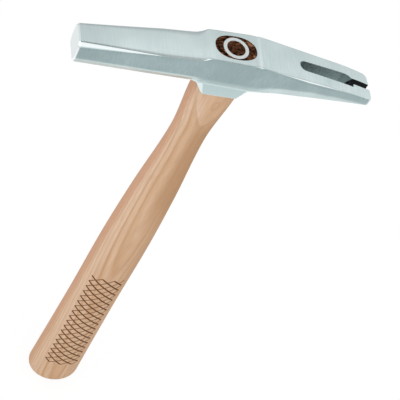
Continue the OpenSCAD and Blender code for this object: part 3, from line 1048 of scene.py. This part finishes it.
# %% Hickory: end grain in the eye
# The tenon's top was sawn off and soaked up dirt, with two pale spots that were cut cleaner
speck = noise(pen, (0.45, 1.1, 0.2), 4.0)
end_colour = speck.step(0.42, 0.66).mix((0.012, 0.004, 0.002), (0.21, 0.085, 0.04))
pale = 0
for spot_x, spot_y, wide in ((7.6, 4.2, 2.2), (8.4, -3.3, 1.1)):
    pale = length(x - spot_x, y - spot_y).fade(wide * 0.5, wide) + pale
end_colour = (pale * speck.step(0.3, 0.5) * 0.8).mix(end_colour, (0.36, 0.17, 0.10))
end = z.step(289.5, 290.5)
# The skin has a thin lacquer, the burned lines hardly any and the end grain none
feed(hickory, shader, Base_Color=end.mix(colour, end_colour),
     Coat_Weight=(1 - end) * (0.12 - burn * 0.1),
     Roughness=0.48 + fibre * 0.12 + burn * 0.2 + end * 0.1)

# %% [markdown]
# ## Wedge wood
#
# The wooden wedge shows its end grain as well, cut flush and nearly black with glue and dirt.
# It needs its own material, because it is darker than the tenon on both sides of it.

# %% Wedge wood
wedge_wood, pen, shader = new_material("wedge wood", Roughness=0.5, Specular_IOR_Level=0.0)
speck = noise(pen, (0.9, 0.9, 0.9), 4.0).step(0.35, 0.65)
feed(wedge_wood, shader, Base_Color=speck.mix((0.015, 0.006, 0.003), (0.10, 0.042, 0.022)))

# %% [markdown]
# ## Pieces and bodies
#
# Nothing on this hammer moves, so the model has one body, and every piece rides on it. Each
# stands for one CAD solid, which stays for the collisions and is hidden here.

# %% Give each piece its body, node and material
for piece, node, slot_name, material in (
        (head, "hammer_head", "ground_steel", steel), (handle, "handle", "hickory", hickory),
        (wedge, "kerf_wedge", "wedge_wood", wedge_wood),
        (ring, "ring_wedge", "ring_steel", ring_steel)):
    piece.data.materials.clear()
    piece.data.materials.append(material)
    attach(piece, "root")
    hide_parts(node)
    print(piece.name, "stands for", node, "in", material.name)

# %% [markdown]
# ## The studio
#
# The picture is a cut-out on white, with soft light from the front and the left. Two large
# soft lamps and a white world make it. Steel would turn white in such a room, so its ceiling
# and its back wall are darker, but only for mirrored rays, which is how a photographer puts
# up black cards that the lens never sees.

# %% The lamps
def panel(name, place, aim, size, radiance):
    """A soft rectangular lamp that faces a point. Its power follows from how bright it looks."""
    lamp = bpy.data.lights.new(name, "AREA")
    lamp.shape = "RECTANGLE"
    lamp.size, lamp.size_y = size
    lamp.energy = radiance * math.pi * size[0] * size[1]
    holder = bpy.data.objects.new(name, lamp)
    way = np.array(aim, float) - np.array(place, float)
    way /= np.linalg.norm(way)
    side = np.cross(way, (0, 0, 1))
    side /= np.linalg.norm(side)
    holder.matrix_world = placed(side, np.cross(side, way), -way, place)
    bpy.context.scene.collection.objects.link(holder)
    print(name, "gives", round(lamp.energy, 2), "watts")


HEAD_POINT = (0.0, 0.0, 0.28)
panel("front panel", (0.30, -0.66, 0.94), HEAD_POINT, (1.3, 1.1), 0.39)
panel("left panel", (-0.90, -0.50, 0.72), HEAD_POINT, (1.2, 1.1), 0.85)

# %% The world
def rays_that_see(pen):
    """1 for a ray from the camera, a mirror or a glass, and 0 for a ray that carries light."""
    camera_ray, glossy, through_glass = pen.node("LightPath").outputs(
        "Is Camera Ray", "Is Glossy Ray", "Is Transmission Ray")
    return camera_ray.at_least(glossy.at_least(through_glass))


world = bpy.data.worlds.new("studio")
bpy.context.scene.world = world
world.use_nodes = True
sky = world.node_tree.nodes["Background"]
sky.inputs["Color"].default_value = (1, 1, 1, 1)
WHITE, FILL = 1.0, 0.72
pen = Socket(world.node_tree)
across, up = pen.node("SeparateXYZ", None, {0: pen.node("TexCoord")}).outputs(1, 2)
ceiling = across.step(-0.36, -0.20) * across.fade(0.26, 0.38) * up.step(0.6, 0.75)
behind = across.step(0.68, 0.82) * 0.4
mirrored = pen.node("LightPath", out="Is Glossy Ray")
level = rays_that_see(pen) * (WHITE - FILL) + FILL - (ceiling * 0.75 + behind) * mirrored
world.node_tree.links.new(level.socket, sky.inputs["Strength"])
print("world:", WHITE, "where it is seen or mirrored,", FILL, "as light")

# %% [markdown]
# ## The floor
#
# The floor is paper. To the camera it glows nearly white and keeps a trace of the hammer's
# shadow, because a mix shader blends the glow with plain paper. In the steel a grey card
# lies in front of the hammer, which gives its sides their darker tone.

# %% The floor
FLOOR = 3000.0
CARD = (0.42, 0.485, 0.495)
corners = np.array([(-FLOOR, -FLOOR), (FLOOR, -FLOOR), (FLOOR, FLOOR), (-FLOOR, FLOOR)])
floor = stack(lifted(np.array([corners, corners]), [-0.5, 0.0]), "floor")
paper, pen, shader = new_material("white paper", Roughness=0.9, Specular_IOR_Level=0.0,
                                  Base_Color=(0.82, 0.82, 0.82, 1))
front = pen.node("SeparateXYZ", None, {0: pen.node("TexCoord", out="Object")}, out=1)
card = front.fade(-0.22, -0.185) * pen.node("LightPath", out="Is Glossy Ray")
glow = pen.node("Emission", None, {"Color": card.mix((1, 1, 1), CARD), "Strength": 1.06})
surface = pen.node("MixShader", None, {0: rays_that_see(pen) * 0.85,
                                       1: Socket(pen.tree, shader.outputs[0]), 2: glow})
pen.tree.links.new(surface.socket, pen.tree.nodes["Material Output"].inputs["Surface"])
floor.data.materials.append(paper)
report(floor)
